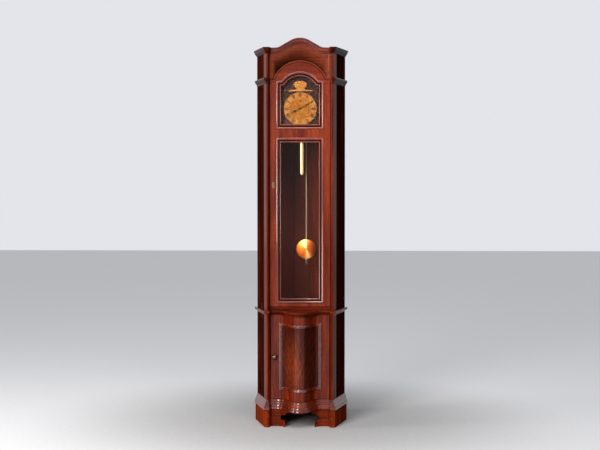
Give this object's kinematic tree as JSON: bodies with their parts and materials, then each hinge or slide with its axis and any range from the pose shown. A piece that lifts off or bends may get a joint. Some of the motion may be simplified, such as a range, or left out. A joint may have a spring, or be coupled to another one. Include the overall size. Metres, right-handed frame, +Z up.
{
  "type": "corner clock",
  "caption": "Tall corner clock with canted panelled sides, an arched glazed door over a bowed cupboard, arched crown, weight, pendulum and going train.",
  "frame": {"origin": "on the floor, under the middle of the clock's width and depth", "axes": "+Z up, -Y the front with the doors, +Y back into the corner of the room, +X to the right seen from the front"},
  "size_m": [0.4966, 0.505, 2],
  "materials": {
    "wood_case": "glossy polished dark mahogany",
    "wood_door": "glossy polished red mahogany",
    "wood_panel": "glossy flame veneer",
    "back_board": "plain unpolished boards",
    "brass": "polished, lacquered",
    "steel": "satin",
    "dial_ground": "dark bronzed metal",
    "glass": "clear"
  },
  "bodies": {
    "case": {"plinth_front": "wood_case", "plinth_side_left": "wood_case", "plinth_side_right": "wood_case", "plinth_moulding": "wood_case", "base_floor": "back_board", "base_post_left": "wood_case", "base_post_right": "wood_case", "base_frame_left": "wood_case", "base_frame_right": "wood_case", "base_side_panels": "wood_panel", "waist_board": "wood_case", "trunk_rail": "wood_case", "trunk_post_left": "wood_case", "trunk_post_right": "wood_case", "trunk_frame_left": "wood_case", "trunk_frame_right": "wood_case", "trunk_side_panels": "wood_panel", "back_board_left": "back_board", "back_board_right": "back_board", "corner_board": "back_board", "capital_mouldings": "wood_case", "frieze_panel": "wood_case", "crown_front": "wood_case", "crown_sides": "wood_case", "top_board": "back_board", "seat_board": "back_board", "movement_plates": "brass", "plate_pillars": "brass", "suspension_cock": "brass", "dial_plate": "dial_ground", "chapter_ring": "brass", "spandrels": "brass", "arch_cartouche": "brass", "dial_centre": "brass", "barrel_cable": "steel"},
    "upper_door": {"door_frame": "wood_door", "door_head": "wood_door", "dial_window_moulding": "wood_door", "trunk_window_moulding": "wood_door", "dial_glass": "glass", "trunk_glass": "glass", "door_lock": "brass"},
    "lock_bolt": {"lock_bolt": "steel"},
    "base_door": {"base_door_board": "wood_door", "base_door_bead": "wood_door", "base_door_panel": "wood_panel"},
    "turn_knob": {"turn_knob": "brass"},
    "pendulum": {"pendulum_rod": "steel", "pendulum_bob": "brass"},
    "anchor": {"anchor_crutch": "steel"},
    "barrel": {"winding_barrel": "brass"},
    "centre_wheel": {"centre_wheel": "brass"},
    "third_wheel": {"third_wheel": "brass"},
    "escape_wheel": {"escape_wheel": "brass"},
    "minute_hand": {"minute_hand": "brass"},
    "hour_hand": {"hour_hand": "brass"},
    "minute_wheel": {"minute_wheel": "brass"},
    "weight": {"weight_body": "brass", "weight_cable": "steel"},
    "pulley": {"weight_pulley": "brass"}
  },
  "joints": [
    {"name": "tall_door_hinge", "type": "hinge", "parent": "case", "child": "upper_door", "pos_m": [0.152, -0.1155, 1.205], "axis": [0, 0, 1], "range_deg": [0, 89]},
    {"name": "bolt_slide", "type": "slide", "parent": "upper_door", "child": "lock_bolt", "axis": [-1, 0, 0], "range_m": [0, 0.005]},
    {"name": "base_door_hinge", "type": "hinge", "parent": "case", "child": "base_door", "pos_m": [0.1475, -0.1155, 0.358], "axis": [0, 0, 1], "range_deg": [0, 89]},
    {"name": "knob_turn", "type": "hinge", "parent": "base_door", "child": "turn_knob", "pos_m": [-0.132, -0.1545, 0.35875], "axis": [0, -1, 0], "range_deg": [0, 90]},
    {"name": "pendulum_swing", "type": "hinge", "parent": "case", "child": "pendulum", "pos_m": [0.0287, 0.0175, 1.7122], "axis": [0, 1, 0], "range_deg": [-2.9, 2.9]},
    {"name": "anchor_rock", "type": "hinge", "parent": "case", "child": "anchor", "pos_m": [0.0287, -0.0295, 1.7122], "axis": [0, 1, 0], "range_deg": [-2.9, 2.9]},
    {"name": "centre_spin", "type": "hinge", "parent": "case", "child": "centre_wheel", "pos_m": [0, -0.0495, 1.641], "axis": [0, 1, 0], "continuous": true},
    {"name": "barrel_spin", "type": "hinge", "parent": "case", "child": "barrel", "pos_m": [0, -0.0305, 1.681], "axis": [0, 1, 0], "continuous": true},
    {"name": "third_spin", "type": "hinge", "parent": "case", "child": "third_wheel", "pos_m": [0.0336, -0.0295, 1.6588], "axis": [0, 1, 0], "continuous": true},
    {"name": "escape_spin", "type": "hinge", "parent": "case", "child": "escape_wheel", "pos_m": [0.04, -0.0295, 1.691], "axis": [0, 1, 0], "continuous": true},
    {"name": "minute_spin", "type": "hinge", "parent": "case", "child": "minute_hand", "pos_m": [0, -0.0905, 1.641], "axis": [0, 1, 0], "continuous": true},
    {"name": "minute_wheel_spin", "type": "hinge", "parent": "case", "child": "minute_wheel", "pos_m": [-0.012, -0.0625, 1.629], "axis": [0, 1, 0], "continuous": true},
    {"name": "hour_spin", "type": "hinge", "parent": "case", "child": "hour_hand", "pos_m": [0, -0.0875, 1.641], "axis": [0, 1, 0], "continuous": true},
    {"name": "weight_fall", "type": "slide", "parent": "case", "child": "weight", "axis": [0, 0, -1], "range_m": [0, 0.62], "deforming": ["weight_cable"]},
    {"name": "pulley_turn", "type": "hinge", "parent": "weight", "child": "pulley", "pos_m": [0.0078, -0.0305, 1.529], "axis": [0, 1, 0], "range_deg": [0, 3819]}
  ],
  "couplings": [
    {"joint": "anchor_rock", "follows": "pendulum_swing", "ratio": 1},
    {"joint": "barrel_spin", "follows": "centre_spin", "ratio": -0.083333},
    {"joint": "third_spin", "follows": "centre_spin", "ratio": -10},
    {"joint": "escape_spin", "follows": "centre_spin", "ratio": 66.667},
    {"joint": "minute_spin", "follows": "centre_spin", "ratio": 1},
    {"joint": "minute_wheel_spin", "follows": "centre_spin", "ratio": -0.33333},
    {"joint": "pulley_turn", "follows": "weight_fall", "rad_per_m": 107.5},
    {"joint": "hour_spin", "follows": "centre_spin", "ratio": 0.083333}
  ]
}
